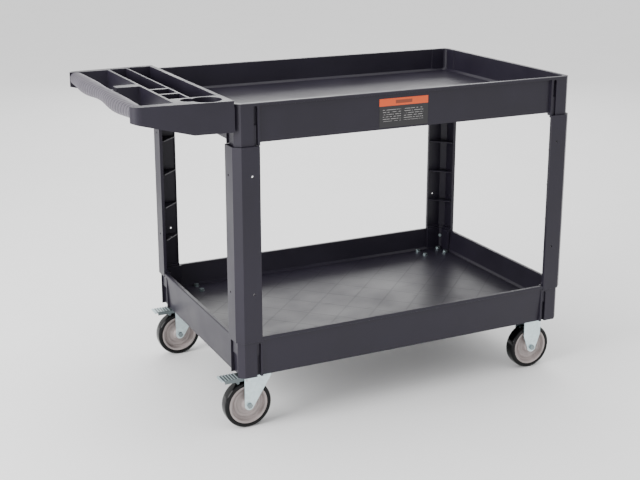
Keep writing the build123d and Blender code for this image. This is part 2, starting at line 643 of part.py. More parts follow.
def label():
    """Flat label on the upper tray's front wall."""
    x = END_WALL_X + LABEL_X
    top = UPPER_RIM - LABEL_DROP
    return block(x, x + LABEL_LENGTH, -HALF_WIDTH - LABEL_THICKNESS, -HALF_WIDTH, top - LABEL_HEIGHT, top)


# ---------------------------------------------------------------- casters, drawn about the plate centre
def hollow(radius, inner, z0, z1):
    """Upright tube about the local Z axis."""
    return rod(radius, 0, 0, z0, z1) - rod(inner, 0, 0, z0, z1)


def caster_plate():
    """Bolt-down plate with the upper ball race."""
    plan = RectangleRounded(PLATE_LENGTH, PLATE_WIDTH, PLATE_CORNER)
    body = Pos(0, 0, PLATE_BOTTOM) * extrude(plan, PLATE_THICKNESS)
    body += hollow(RACE_OUTER - CUP_WALL - BALL_GAP, RACE_INNER, race_bottom(), PLATE_BOTTOM)
    for x, y in bolt_places():
        body -= rod(CASTER_HOLE_RADIUS, x, y, PLATE_BOTTOM, PLATE_TOP)
    return body - rod(KINGPIN_RADIUS, 0, 0, PLATE_BOTTOM, PLATE_TOP)


def ball_height():
    """Height of the ball centres."""
    return CROWN_BOTTOM + 2 * FORK_PLATE + BALL_RADIUS


def race_bottom():
    """Underside of the upper race."""
    return ball_height() + BALL_RADIUS + BALL_GAP


def balls():
    """Ring of bearing balls."""
    ring = []
    for number in range(BALL_COUNT):
        angle = 2 * pi * number / BALL_COUNT
        place = Pos(BALL_CIRCLE * cos(angle), BALL_CIRCLE * sin(angle), ball_height())
        ring.append(place * Sphere(BALL_RADIUS))
    return Compound(children=ring)


def kingpin():
    """Rivet that holds the fork under the plate."""
    pin = rod(KINGPIN_RADIUS, 0, 0, CROWN_BOTTOM - BALL_GAP, PLATE_TOP)
    head_top = CROWN_BOTTOM - BALL_GAP
    return pin + rod(KINGPIN_HEAD, 0, 0, head_top - KINGPIN_HEAD_HEIGHT, head_top)


def wheel_centre_z():
    """Height of the axle."""
    return WHEEL_RADIUS


def fork_side(points, eye_x, eye_radius, y0):
    """One fork plate: an outline with a round eye at the axle."""
    plate = extrude(Plane.XZ * make_face(Polyline(*points, close=True)), FORK_PLATE, dir=(0, 1, 0))
    plate = Pos(0, y0, 0) * plate
    plate += rod_y(eye_radius, eye_x, wheel_centre_z(), y0, y0 + FORK_PLATE)
    return plate - rod_y(AXLE_RADIUS, eye_x, wheel_centre_z(), y0, y0 + FORK_PLATE)


def swivel_fork():
    """Swivel fork: crown with the lower race cup, and two plates swept back to the axle."""
    top = CROWN_BOTTOM + FORK_PLATE
    rear = -TRAIL - FORK_EYE
    length = hypot(FORK_FRONT + TRAIL, CROWN_BOTTOM - WHEEL_RADIUS)
    side_x = FORK_EYE * (CROWN_BOTTOM - WHEEL_RADIUS) / length
    side_z = FORK_EYE * (FORK_FRONT + TRAIL) / length
    outline = [(rear, top), (FORK_FRONT, top), (FORK_FRONT, top - 2 * FORK_PLATE),
               (-TRAIL + side_x, WHEEL_RADIUS - side_z), (rear, WHEEL_RADIUS)]
    crown = block(-RACE_OUTER, FORK_FRONT, -FORK_OUTER, FORK_OUTER, CROWN_BOTTOM, top)
    body = crown + rod(RACE_OUTER, 0, 0, CROWN_BOTTOM, top)
    for y0 in (-FORK_OUTER, FORK_INNER):
        body += fork_side(outline, -TRAIL, FORK_EYE, y0)
    race_top = ball_height() - BALL_RADIUS
    body += rod(RACE_OUTER, 0, 0, top, race_top)
    body += hollow(RACE_OUTER, RACE_OUTER - CUP_WALL, race_top, ball_height() + BALL_RADIUS)
    body -= rod(RACE_INNER, 0, 0, top, race_top + FORK_PLATE)
    body -= rod(KINGPIN_RADIUS + RUNNING_PLAY, 0, 0, CROWN_BOTTOM, race_top)
    return body - rod_y(PIN_RADIUS, -PEDAL_PIVOT_X, PEDAL_PIVOT_Z, -FORK_OUTER, FORK_OUTER)


def fixed_fork():
    """Fixed bracket: plate and two straight sides that narrow to the axle."""
    half = FIXED_TOP_WIDTH / 2
    outline = [(-half, PLATE_BOTTOM), (half, PLATE_BOTTOM), (half, FIXED_WAIST),
               (FIXED_EYE, WHEEL_RADIUS), (-FIXED_EYE, WHEEL_RADIUS), (-half, FIXED_WAIST)]
    plan = RectangleRounded(PLATE_LENGTH, PLATE_WIDTH, PLATE_CORNER)
    body = Pos(0, 0, PLATE_BOTTOM) * extrude(plan, PLATE_THICKNESS)
    for y0 in (-FORK_OUTER, FORK_INNER):
        body += fork_side(outline, 0, FIXED_EYE, y0)
    for x, y in bolt_places():
        body -= rod(CASTER_HOLE_RADIUS, x, y, PLATE_BOTTOM, PLATE_TOP)
    return body


def revolve_about_axle(points, axle_x):
    """Turn a profile of radius and Y about the axle."""
    profile = make_face(Polyline(*points, close=True))
    turned = revolve(profile, Axis.Y)
    return Pos(axle_x, 0, wheel_centre_z()) * turned


def tyre(axle_x):
    """Tyre with rounded shoulders."""
    half = WHEEL_WIDTH / 2
    ring = rod_y(WHEEL_RADIUS, 0, 0, -half, half)
    ring = fillet(ring.edges().filter_by(GeomType.CIRCLE), TYRE_SHOULDER)
    ring -= rod_y(HUB_RADIUS, 0, 0, -half, half)
    return Pos(axle_x, 0, wheel_centre_z()) * ring


def hub(axle_x):
    """Hub: outer band, dished web with a raised ring, and boss."""
    half = WHEEL_WIDTH / 2 - 1.0
    bore = AXLE_BUSH_RADIUS + RUNNING_PLAY
    web = HUB_WEB / 2
    band = HUB_RADIUS - HUB_RIM
    boss = WHEEL_WIDTH / 2 + SIDE_PLAY / 2
    side = [(bore, boss), (HUB_BOSS_RADIUS - 3, boss), (HUB_BOSS_RADIUS, boss - 3),
            (HUB_BOSS_RADIUS + 2, web + 1), (HUB_RING_RADIUS - 4, web), (HUB_RING_RADIUS - 2, web + 3),
            (HUB_RING_RADIUS + 2, web + 3), (HUB_RING_RADIUS + 4, web), (band - 2, web + 1),
            (band, half), (HUB_RADIUS, half)]
    points = side + [(radius, -y) for radius, y in reversed(side)]
    return revolve_about_axle(points, axle_x)


def axle_bush(axle_x):
    """Spacer tube clamped between the fork plates, on which the wheel turns."""
    tube = rod_y(AXLE_BUSH_RADIUS, axle_x, WHEEL_RADIUS, -FORK_INNER, FORK_INNER)
    return tube - rod_y(AXLE_RADIUS + AXLE_PLAY, axle_x, WHEEL_RADIUS, -FORK_INNER, FORK_INNER)


def upright_to_axle(shape, axle_x, y):
    """Turn a shape drawn up +Z so that it points along -Y from a place on the axle."""
    return Pos(axle_x, y, WHEEL_RADIUS) * Rot(90, 0, 0) * shape


def axle_bolt(axle_x):
    """Axle bolt, its head on the fork's front plate."""
    shank = rod_y(AXLE_RADIUS, axle_x, WHEEL_RADIUS, -FORK_OUTER, FORK_OUTER + NUT_HEIGHT + THREAD_PAST_NUT)
    return shank + upright_to_axle(hexagon(BOLT_FLATS, 0, 0, 0, HEAD_HEIGHT), axle_x, -FORK_OUTER)


def axle_nut(axle_x):
    """Axle nut on the fork's back plate."""
    nut = hexagon(BOLT_FLATS, 0, 0, 0, NUT_HEIGHT) - rod(AXLE_RADIUS, 0, 0, 0, NUT_HEIGHT)
    return upright_to_axle(nut, axle_x, FORK_OUTER + NUT_HEIGHT)


def caster_bolts():
    """Bolts down through the tray floor, the seat and the plate."""
    top = LOWER_FLOOR + WASHER_THICKNESS
    low = PLATE_BOTTOM - NUT_HEIGHT - THREAD_PAST_NUT
    return Compound(children=[rod(CASTER_BOLT_RADIUS, x, y, low, top)
                              + hexagon(BOLT_FLATS, x, y, top, top + HEAD_HEIGHT)
                              for x, y in bolt_places()])


def caster_washers():
    """Washers under the bolt heads."""
    return Compound(children=[rod(WASHER_RADIUS, x, y, LOWER_FLOOR, LOWER_FLOOR + WASHER_THICKNESS)
                              - rod(CASTER_HOLE_RADIUS, x, y, LOWER_FLOOR, LOWER_FLOOR + WASHER_THICKNESS)
                              for x, y in bolt_places()])


def caster_nuts():
    """Nuts under the caster plate."""
    low = PLATE_BOTTOM - NUT_HEIGHT
    return Compound(children=[hexagon(BOLT_FLATS, x, y, low, PLATE_BOTTOM)
                              - rod(CASTER_BOLT_RADIUS, x, y, low, PLATE_BOTTOM)
                              for x, y in bolt_places()])


def brake_pedal():
    """Pressed pedal: tread plate with ribs, two cheeks round the pivot and a shoe over the tyre."""
    half = PEDAL_WIDTH / 2
    under = PEDAL_TOP - PEDAL_PLATE
    nose = -PEDAL_PIVOT_X + PEDAL_CHEEK
    body = block(-PEDAL_TIP, nose, -half, half, under, PEDAL_TOP)
    for y0 in (-half, half - PEDAL_PLATE):
        cheek = block(-PEDAL_TIP + PEDAL_CHEEK, nose, y0, y0 + PEDAL_PLATE, PEDAL_TOP - PEDAL_CHEEK,
                      PEDAL_TOP)
        body += cheek + rod_y(PEDAL_EYE, -PEDAL_PIVOT_X, PEDAL_PIVOT_Z, y0, y0 + PEDAL_PLATE)
    pitch = (PEDAL_TIP - PEDAL_TREAD_START) / PEDAL_RIBS
    for number in range(PEDAL_RIBS):
        x = -PEDAL_TREAD_START - pitch * (number + 0.5)
        body += rod_y(PEDAL_RIB, x, PEDAL_TOP, -half, half)
    x, z = shoe_place()
    body += rod_y(SHOE_RADIUS, x, z, -half, half)
    body += block(x - PEDAL_PLATE, x + PEDAL_PLATE, -half, half, z, under)
    room = PIN_RADIUS + RUNNING_PLAY
    return body - rod_y(room, -PEDAL_PIVOT_X, PEDAL_PIVOT_Z, -half, half)


def shoe_place():
    """Shoe centre with the pedal up: its pressed place on the tyre, turned back about the pivot."""
    reach = WHEEL_RADIUS + SHOE_RADIUS + SHOE_GAP
    x = -TRAIL - reach * sin(radians(SHOE_ANGLE)) + PEDAL_PIVOT_X
    z = WHEEL_RADIUS + reach * cos(radians(SHOE_ANGLE)) - PEDAL_PIVOT_Z
    swing = radians(PEDAL_SWING)
    return (x * cos(swing) + z * sin(swing) - PEDAL_PIVOT_X,
            z * cos(swing) - x * sin(swing) + PEDAL_PIVOT_Z)


def brake_pin():
    """Pivot pin of the pedal, through both fork plates."""
    end = FORK_OUTER + PIN_END
    return rod_y(PIN_RADIUS, -PEDAL_PIVOT_X, PEDAL_PIVOT_Z, -end, end)


def place_caster(shape, corner):
    """Put a caster piece under one tray corner."""
    x, y = caster_centre(*CORNERS[corner])
    return Pos(x, y, 0) * shape


def build():
    """Write every node."""
    os.makedirs("parts", exist_ok=True)
    save(lower_tray(), "lower_tray")
    save(upper_tray(), "upper_tray")
    save(handle_tray(), "handle_tray")
    save(grip(), "handle_grip")
    save(label(), "label")
    save(handle_screws(), "handle_screws")
    screws = [at_corner(leg_screw(z), end, side) for end, side in CORNERS.values()
              for z in (LOWER_RIM - TONGUE_LENGTH / 2, LEG_TOP + TONGUE_LENGTH / 2)]
    save(Compound(children=screws), "leg_screws")
    angle_leg = leg()
    for corner, (end, side) in CORNERS.items():
        save(at_corner(angle_leg, end, side), f"leg_{corner}")
    shared = {"caster_bolts": caster_bolts(), "caster_washers": caster_washers(),
              "caster_nuts": caster_nuts()}
    swivel = {"caster_plate": caster_plate(), "swivel_balls": balls(), "kingpin": kingpin(),
              "fork": swivel_fork(), "brake_pedal": brake_pedal(), "brake_pin": brake_pin()}
    fixed = {"fork": fixed_fork()}
    wheel_pieces = {"tyre": tyre, "hub": hub, "axle_bush": axle_bush, "axle_bolt": axle_bolt,
                    "axle_nut": axle_nut}
    for corner, (end, _) in CORNERS.items():
        axle_x = -TRAIL if end < 0 else 0.0
        pieces = dict(shared, **(swivel if end < 0 else fixed))
        pieces.update({name: make(axle_x) for name, make in wheel_pieces.items()})
        for name, shape in pieces.items():
            save(place_caster(shape, corner), f"{name}_{corner}")


build()
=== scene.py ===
"""Looks for a two-shelf moulded service cart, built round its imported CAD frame."""
import json
import math

import bpy
import numpy as np
from bpy.props import FloatProperty, FloatVectorProperty, IntProperty, PointerProperty
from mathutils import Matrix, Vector


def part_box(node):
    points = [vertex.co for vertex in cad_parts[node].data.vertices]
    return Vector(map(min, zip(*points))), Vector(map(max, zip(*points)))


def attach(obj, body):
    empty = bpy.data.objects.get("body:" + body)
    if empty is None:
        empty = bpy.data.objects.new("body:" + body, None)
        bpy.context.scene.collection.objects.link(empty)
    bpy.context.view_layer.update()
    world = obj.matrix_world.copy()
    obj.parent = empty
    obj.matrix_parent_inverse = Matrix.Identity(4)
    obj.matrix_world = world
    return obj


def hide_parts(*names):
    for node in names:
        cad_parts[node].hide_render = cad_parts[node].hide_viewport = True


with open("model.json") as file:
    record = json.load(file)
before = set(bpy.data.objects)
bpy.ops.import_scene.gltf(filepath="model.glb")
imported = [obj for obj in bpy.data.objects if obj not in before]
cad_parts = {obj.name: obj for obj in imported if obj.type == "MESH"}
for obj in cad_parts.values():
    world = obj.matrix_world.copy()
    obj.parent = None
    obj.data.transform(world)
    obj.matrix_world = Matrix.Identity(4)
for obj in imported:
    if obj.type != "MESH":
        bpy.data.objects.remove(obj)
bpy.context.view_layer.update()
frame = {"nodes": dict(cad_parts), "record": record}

bl_info = {
    "name": "Service Cart",
    "version": (1, 0, 0),
    "blender": (4, 5, 0),
    "location": "3D View > Sidebar > Cart",
    "description": "Builds the pieces, finishes and studio of a moulded service cart",
    "category": "Object",
}

CORNERS = ("front_left", "front_right", "back_left", "back_right")
MM = 0.001


def middle(node):
    """Centre of a CAD node's box."""
    low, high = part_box(node)
    return [(a + b) / 2 for a, b in zip(low, high)]


# ---------------------------------------------------------------- sizes and colours
class CartSizes(bpy.types.PropertyGroup):
    """Sizes of the pieces that are shaped here."""
    grip_ribs: IntProperty(name="Grip ribs", default=30,
                           description="Moulded ribs along the whole grip")
    rib_depth: FloatProperty(name="Rib depth", default=0.0028, unit="LENGTH",
                             description="Depth of the grooves between the grip's ribs")
    lobe_swell: FloatProperty(name="Lobe swell", default=0.012, unit="LENGTH",
                              description="Extra width in the middle of each grip lobe")
    lobe_drop: FloatProperty(name="Lobe drop", default=0.006, unit="LENGTH",
                             description="Extra depth in the middle of each grip lobe")
    tyre_shoulder: FloatProperty(name="Tyre shoulder", description="Radius of the tyre's shoulders",
                                 default=0.0065, unit="LENGTH")
    label_band: FloatProperty(name="Label band height", default=0.019, unit="LENGTH",
                              description="Height of the coloured band on the label")


class CartColours(bpy.types.PropertyGroup):
    """Colours of the finishes, as linear values."""
    plastic: FloatVectorProperty(name="Plastic", description="Moulded shelves, legs and handle",
                                 subtype="COLOR", default=(0.0125, 0.0102, 0.0185), min=0, max=1)
    grip: FloatVectorProperty(name="Grip", description="Ribbed grip", subtype="COLOR",
                              default=(0.078, 0.070, 0.088), min=0, max=1)
    tyre: FloatVectorProperty(name="Tyre", description="Glossy tyre", subtype="COLOR",
                              default=(0.0022, 0.0022, 0.0026), min=0, max=1)
    hub: FloatVectorProperty(name="Hub", description="Warm grey wheel hub", subtype="COLOR",
                             default=(0.31, 0.268, 0.26), min=0, max=1)
    zinc: FloatVectorProperty(name="Zinc", description="Zinc-plated steel", subtype="COLOR",
                              default=(0.62, 0.74, 0.77), min=0, max=1)
    band: FloatVectorProperty(name="Label band", description="Band along the label's top",
                              subtype="COLOR", default=(0.62, 0.075, 0.008), min=0, max=1)


class CartStudio(bpy.types.PropertyGroup):
    """Camera and lights."""
    lens: FloatProperty(name="Lens", description="Focal length in millimetres on a 36 mm sensor",
                        default=64.17, min=10)
    azimuth: FloatProperty(name="Azimuth", description="Camera azimuth, 0 looks along +Y",
                           default=math.radians(-25.97), subtype="ANGLE")
    elevation: FloatProperty(name="Elevation", description="Camera height above the horizon",
                             default=math.radians(14.84), subtype="ANGLE")
    eye: FloatVectorProperty(name="Eye", description="Camera place", subtype="TRANSLATION",
                             default=(-1.3372, -2.7615, 1.3361))
    room_light: FloatProperty(name="Room light", description="Strength of the white room",
                              default=1.3, min=0)
    shift: FloatProperty(name="Shift", description="Vertical lens shift", default=-0.078)


# ---------------------------------------------------------------- node wiring
# Sockets of a Mix node that mixes colours.
MIX_FACTOR, MIX_FIRST, MIX_SECOND, MIX_RESULT = 0, 6, 7, 2


class Wire:
    """A node's output socket. An operator on it adds a Math node and gives that node's wire."""

    def __init__(self, finish, socket):
        self.finish = finish
        self.socket = socket

    def maths(self, operation, *others):
        """A Math node on the given numbers and wires."""
        return self.finish.node("ShaderNodeMath", {"operation": operation}, dict(enumerate(others)))

    def __add__(self, other):
        return self.maths("ADD", self, other)

    def __radd__(self, other):
        return self.maths("ADD", other, self)

    def __sub__(self, other):
        return self.maths("SUBTRACT", self, other)

    def __rsub__(self, other):
        return self.maths("SUBTRACT", other, self)

    def __mul__(self, other):
        return self.maths("MULTIPLY", self, other)

    def __rmul__(self, other):
        return self.maths("MULTIPLY", other, self)

    def __truediv__(self, other):
        return self.maths("DIVIDE", self, other)

    def __gt__(self, other):
        return self.maths("GREATER_THAN", self, other)

    def __lt__(self, other):
        return self.maths("LESS_THAN", self, other)

    def __abs__(self):
        return self.maths("ABSOLUTE", self)

    def ping_pong(self, span):
        """Runs up and down between 0 and span."""
        return self.maths("PINGPONG", self, span)

    def fade(self, start, end, low=0.0, high=1.0):
        """Smooth step from low at start to high at end."""
        return self.finish.node("ShaderNodeMapRange", {"interpolation_type": "SMOOTHSTEP"},
                                {"Value": self, "From Min": start, "From Max": end,
                                 "To Min": low, "To Max": high})


class Finish:
    """One material, built from nodes round a Principled shader."""

    def __init__(self, name):
        self.material = bpy.data.materials.new(name)
        self.material.use_nodes = True
        self.tree = self.material.node_tree
        self.tree.nodes.clear()
        self.shader = self.tree.nodes.new("ShaderNodeBsdfPrincipled")
        output = self.tree.nodes.new("ShaderNodeOutputMaterial")
        self.tree.links.new(self.shader.outputs["BSDF"], output.inputs["Surface"])
        self.spot = self.node("ShaderNodeTexCoord", {}, {}, "Object")

    def node(self, kind, settings, inputs, out=0):
        """Add a node, apply its settings, then set or link its sockets; gives the chosen output."""
        made = self.tree.nodes.new(kind)
        for name, value in settings.items():
            setattr(made, name, value)
        for key, value in inputs.items():
            self.feed(made.inputs[key], value)
        return Wire(self, made.outputs[out])

    def feed(self, socket, value):
        """Link a wire to a socket, or set the socket's own value."""
        if isinstance(value, Wire):
            self.tree.links.new(value.socket, socket)
        else:
            socket.default_value = value

    def surface(self, **values):
        """Set or link the shader's sockets; an underscore stands for a space."""
        for name, value in values.items():
            self.feed(self.shader.inputs[name.replace("_", " ")], value)
        return self.material

    def axes(self, vector=None):
        """The three numbers of a vector."""
        split = self.tree.nodes.new("ShaderNodeSeparateXYZ")
        self.feed(split.inputs[0], vector or self.spot)
        return [Wire(self, socket) for socket in split.outputs]

    def stretched(self, scale, turn=(0.0, 0.0, 0.0)):
        """Object coordinates scaled, then turned."""
        inputs = {"Vector": self.spot, "Rotation": turn, "Scale": scale}
        return self.node("ShaderNodeMapping", {}, inputs)

    def noise(self, scale, detail=2.0, roughness=0.5, vector=None):
        """Noise from 0 to 1."""
        inputs = {"Vector": vector or self.spot, "Scale": scale, "Detail": detail,
                  "Roughness": roughness}
        return self.node("ShaderNodeTexNoise", {}, inputs, "Fac")

    def brushed(self, scale):
        """Noise drawn out along the axis with the smallest scale."""
        return self.noise(scale=1.0, detail=3.0, roughness=0.6, vector=self.stretched(scale))

    def blend(self, factor, first, second):
        """Mix two colours."""
        inputs = {MIX_FACTOR: factor, MIX_FIRST: opaque(first), MIX_SECOND: opaque(second)}
        return self.node("ShaderNodeMix", {"data_type": "RGBA"}, inputs, MIX_RESULT)

    def bump(self, height, distance, strength=1.0, normal=None):
        """Normal bent by a height."""
        inputs = {"Height": height, "Distance": distance, "Strength": strength}
        if normal:
            inputs["Normal"] = normal
        return self.node("ShaderNodeBump", {}, inputs, "Normal")

    def rounded(self, radius):
        """Normal that rounds edges by a radius."""
        return self.node("ShaderNodeBevel", {"samples": 4}, {"Radius": radius}, "Normal")

    def edge_mask(self, soft):
        """1 along rounded edges and 0 on open faces."""
        true_normal = self.node("ShaderNodeNewGeometry", {}, {}, "True Normal")
        likeness = self.node("ShaderNodeVectorMath", {"operation": "DOT_PRODUCT"},
                             {0: soft, 1: true_normal}, "Value")
        flat, edge_full = 0.995, 0.86
        return likeness.fade(flat, edge_full)


def opaque(colour):
    """A colour with alpha 1, or the wire itself."""
    if isinstance(colour, Wire):
        return colour
    return (*tuple(colour)[:3], 1.0)


def scaled(colour, factor):
    """A colour made lighter or darker."""
    return tuple(min(1.0, part * factor) for part in tuple(colour)[:3])


# ---------------------------------------------------------------- finishes
# A noise's scale is its number of cells in a metre.
LATTICE_PITCH = 118.0 * MM
SINK_HALF_WIDTH = 4.2 * MM      # of a sink line, where it has faded out
SINK_CORE = 1.6 * MM            # and where it is still full
PLASTIC_EDGE = 1.3 * MM         # rounding of moulded edges
STEEL_EDGE = 0.7 * MM
PEDAL_EDGE = 0.8 * MM
PLASTIC_SHINE = 0.32            # specular levels, below the usual 0.5
TYRE_SHINE = 0.22


def moulded_plastic(name, colour, lattice_node=None):
    """Satin moulded plastic: fine grain, broad mottle, scuffs and painted sheen on flat tops,
    painted edge highlights.
    """
    finish = Finish(name)
    soft = finish.rounded(PLASTIC_EDGE)
    grain = finish.noise(scale=1100.0)
    flow = finish.noise(scale=5.0, detail=3.0, roughness=0.6)
    streaks = finish.stretched(scale=(14.0, 160.0, 60.0), turn=(0.0, 0.0, 0.35))
    scuffs = finish.noise(scale=1.0, detail=4.0, roughness=0.7, vector=streaks)
    scuff_and_sheen_mask = scuffs.fade(0.60, 0.74)
    up = finish.axes(finish.node("ShaderNodeNewGeometry", {}, {}, "Normal"))[2]
    top_face = up.fade(0.85, 0.97)
    edges = finish.edge_mask(soft)
    base = finish.blend(flow.fade(0.3, 0.7), scaled(colour, 0.90), scaled(colour, 1.12))
    # scuffs and painted sheen: flat tops lightened in streaky patches
    base = finish.blend(scuff_and_sheen_mask * top_face * 0.35, base, scaled(colour, 1.9))
    # painted highlight: colour lightened along rounded edges
    base = finish.blend(edges * 0.35, base, scaled(colour, 2.2))
    gloss = flow.fade(0.25, 0.75, low=0.33, high=0.45) + scuff_and_sheen_mask * top_face * 0.14 + grain * 0.04
    height = grain * 0.10
    if lattice_node:
        sink_dips_and_shade = sink_lines(finish, lattice_node) * top_face
        # painted shade along the sink lines; their dip itself is the bump in the height below
        base = finish.blend(sink_dips_and_shade * 0.25, base, scaled(colour, 0.6))
        gloss = gloss + sink_dips_and_shade * 0.05
        height = height - sink_dips_and_shade * 0.5
    normal = finish.bump(height, 0.25 * MM, strength=0.8, normal=soft)
    return finish.surface(Base_Color=base, Roughness=gloss, Normal=normal,
                          Specular_IOR_Level=PLASTIC_SHINE)


def sink_lines(finish, node):
    """Faint diagonal lines over the ribs under a shelf floor: 1 on a line, 0 between.

    A line runs where x + y or x - y, from the shelf's middle, is a whole number of pitches.
    """
    x, y, _ = finish.axes()
    across = x - middle(node)[0]
    whole_pitches = LATTICE_PITCH * 40      # keeps the sum above 0 over the whole shelf
    lines = []
    for diagonal in (across + y, across - y):
        away = (diagonal + whole_pitches).ping_pong(LATTICE_PITCH / 2)
        lines.append(away.fade(SINK_HALF_WIDTH, SINK_CORE))
    return lines[0].maths("MAXIMUM", *lines)


def grip_plastic(name, colour):
    """Matt grip: soft grain, and painted shade in the grooves at the pitch of the ribs, so the
    crests stand lighter.
    """
    finish = Finish(name)
    low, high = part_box("handle_grip")
    pitch = (high[1] - low[1]) / sizes().grip_ribs
    x, y, _ = finish.axes()
    groove = (y - low[1]).ping_pong(pitch / 2).fade(0.30 * pitch, 0.44 * pitch)
    axis_x = middle("handle_grip")[0]
    outer = x.fade(axis_x + 4 * MM, axis_x - 6 * MM)
    flow = finish.noise(scale=18.0, detail=3.0)
    base = finish.blend(flow.fade(0.3, 0.7), scaled(colour, 0.9), scaled(colour, 1.12))
    # painted shade: grooves on the ribbed side darkened in colour
    base = finish.blend(groove * outer * 0.85, base, scaled(colour, 0.22))
    gloss = flow.fade(0.3, 0.7, low=0.40, high=0.52) + groove * 0.1
    normal = finish.bump(finish.noise(scale=900.0), 0.06 * MM, strength=0.7)
    return finish.surface(Base_Color=base, Roughness=gloss, Normal=normal)


def glossy_tyre(name, colour):
    """Smooth tyre: near black and glossy, with a thin uneven dust."""
    finish = Finish(name)
    dust = finish.noise(scale=60.0, detail=4.0, roughness=0.65)
    mask = dust.fade(0.52, 0.75)
    base = finish.blend(mask * 0.25, colour, scaled(colour, 2.5))
    gloss = dust.fade(0.3, 0.8, low=0.07, high=0.20)
    normal = finish.bump(finish.noise(scale=300.0), 0.05 * MM, strength=0.5)
    return finish.surface(Base_Color=base, Roughness=gloss, Normal=normal,
                          Specular_IOR_Level=TYRE_SHINE)


def hub_plastic(name, colour):
    """Warm grey moulded hub: satin, with faint flow marks and grime."""
    finish = Finish(name)
    flow = finish.noise(scale=35.0, detail=4.0, roughness=0.6)
    grime = finish.noise(scale=90.0, detail=5.0, roughness=0.7).fade(0.55, 0.8)
    base = finish.blend(flow.fade(0.3, 0.7), scaled(colour, 0.88), scaled(colour, 1.12))
    base = finish.blend(grime * 0.3, base, scaled(colour, 0.55))
    gloss = flow.fade(0.3, 0.7, low=0.30, high=0.42)
    normal = finish.bump(finish.noise(scale=700.0), 0.05 * MM, strength=0.6)
    return finish.surface(Base_Color=base, Roughness=gloss, Normal=normal)


def plated_steel(name, colour, rough=0.30):
    """Zinc plate: spangled tone, fine brushing, small stains."""
    finish = Finish(name)
    soft = finish.rounded(STEEL_EDGE)
    cells = finish.node("ShaderNodeTexVoronoi", {"feature": "F1"},
                        {"Vector": finish.spot, "Scale": 130.0, "Randomness": 1.0}, "Color")
    tone = finish.axes(cells)[0]
    brush = finish.brushed((90.0, 90.0, 1500.0))
    stain = finish.noise(scale=40.0, detail=4.0, roughness=0.7).fade(0.58, 0.78)
    base = finish.blend(tone.fade(0.0, 1.0), scaled(colour, 0.93), scaled(colour, 1.04))
    base = finish.blend(stain * 0.25, base, scaled(colour, 0.7))
    gloss = brush.fade(0.2, 0.8, low=rough - 0.05, high=rough + 0.09) + stain * 0.12
    normal = finish.bump(brush + tone * 0.3, 0.04 * MM, strength=0.6, normal=soft)
    return finish.surface(Base_Color=base, Roughness=gloss, Metallic=0.9, Normal=normal)


def pressed_pedal(name, colour):
    """Pressed steel pedal: dull blue-grey plate darkened as painted shade, painted highlights on
    the outer lip and the ribs' crests.
    """
    finish = Finish(name)
    low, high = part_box("brake_pedal_front_left")
    x, _, z = finish.axes()
    brush = finish.brushed((90.0, 1500.0, 90.0))
    wear = finish.noise(scale=160.0, detail=4.0, roughness=0.65).fade(0.45, 0.7)
    crest = z.fade(high[2] - 1.6 * MM, high[2] - 0.5 * MM)
    lip = x.fade(low[0] + 7.5 * MM, low[0] + 5.5 * MM)
    painted_highlight = lip.maths("MAXIMUM", lip, crest * 0.8)
    # painted highlight on the lip and crests; the rest of the plate is darkened as painted shade
    base = finish.blend(painted_highlight, scaled(colour, 0.42), scaled(colour, 1.9))
    base = finish.blend(wear * 0.35, base, scaled(colour, 0.6))
    gloss = brush.fade(0.2, 0.8, low=0.28, high=0.42)
    normal = finish.bump(brush, 0.05 * MM, strength=0.6, normal=finish.rounded(PEDAL_EDGE))
    return finish.surface(Base_Color=base, Roughness=gloss, Metallic=0.9, Normal=normal)


def ground_steel(name, colour):
    """Plain ground steel of the bearing pieces."""
    finish = Finish(name)
    brush = finish.brushed((600.0, 600.0, 80.0))
    base = finish.blend(brush, scaled(colour, 0.9), colour)
    gloss = brush.fade(0.2, 0.8, low=0.22, high=0.36)
    normal = finish.bump(brush, 0.02 * MM, strength=0.5)
    return finish.surface(Base_Color=base, Roughness=gloss, Metallic=1.0, Normal=normal)


def label_film(name, band_colour, band_height):
    """Printed film: a coloured band over a dark field, with blank rules where words would stand."""
    finish = Finish(name)
    low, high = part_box("label")
    x, _, z = finish.axes()
    across = (x - low[0]) / (high[0] - low[0])
    drop = high[2] - z
    band = drop < band_height
    first_rule = band_height + 7 * MM
    last_rule = 58 * MM
    half_rule_pitch = 2.9 * MM
    left_margin, right_margin, gutter, half_gutter = 0.07, 0.90, 0.47, 0.03
    half_plate_share, half_plate_height = 0.17, 4.5 * MM
    rows = (drop - first_rule).ping_pong(half_rule_pitch).fade(2.1 * MM, 2.5 * MM)
    field = (across > left_margin) * (across < right_margin)
    field = field * (drop > first_rule) * (drop < last_rule)
    breaks = finish.noise(scale=1.0, detail=0.0, vector=finish.stretched((170.0, 0.0, 350.0)))
    columns = abs(across - gutter) > half_gutter
    rules = rows * field * breaks.fade(0.40, 0.46) * columns
    plate = abs(across - 0.5) < half_plate_share
    plate = plate * (abs(drop - band_height / 2) < half_plate_height)
    dark = finish.blend(rules * 0.55, (0.012, 0.011, 0.013), (0.55, 0.54, 0.53))
    lit = finish.blend(plate * 0.75, band_colour, (0.05, 0.02, 0.01))
    grain = finish.noise(scale=500.0)
    return finish.surface(Base_Color=finish.blend(band, dark, lit),
                          Roughness=grain.fade(0.2, 0.8, low=0.3, high=0.4),
                          Normal=finish.bump(grain, 0.02 * MM, strength=0.4))


def paper_floor(name):
    """Pale seamless studio floor."""
    finish = Finish(name)
    mottle = finish.noise(scale=3.0)
    base = finish.blend(mottle, (0.90, 0.90, 0.90), (0.93, 0.93, 0.93))
    return finish.surface(Base_Color=base, Roughness=0.75)


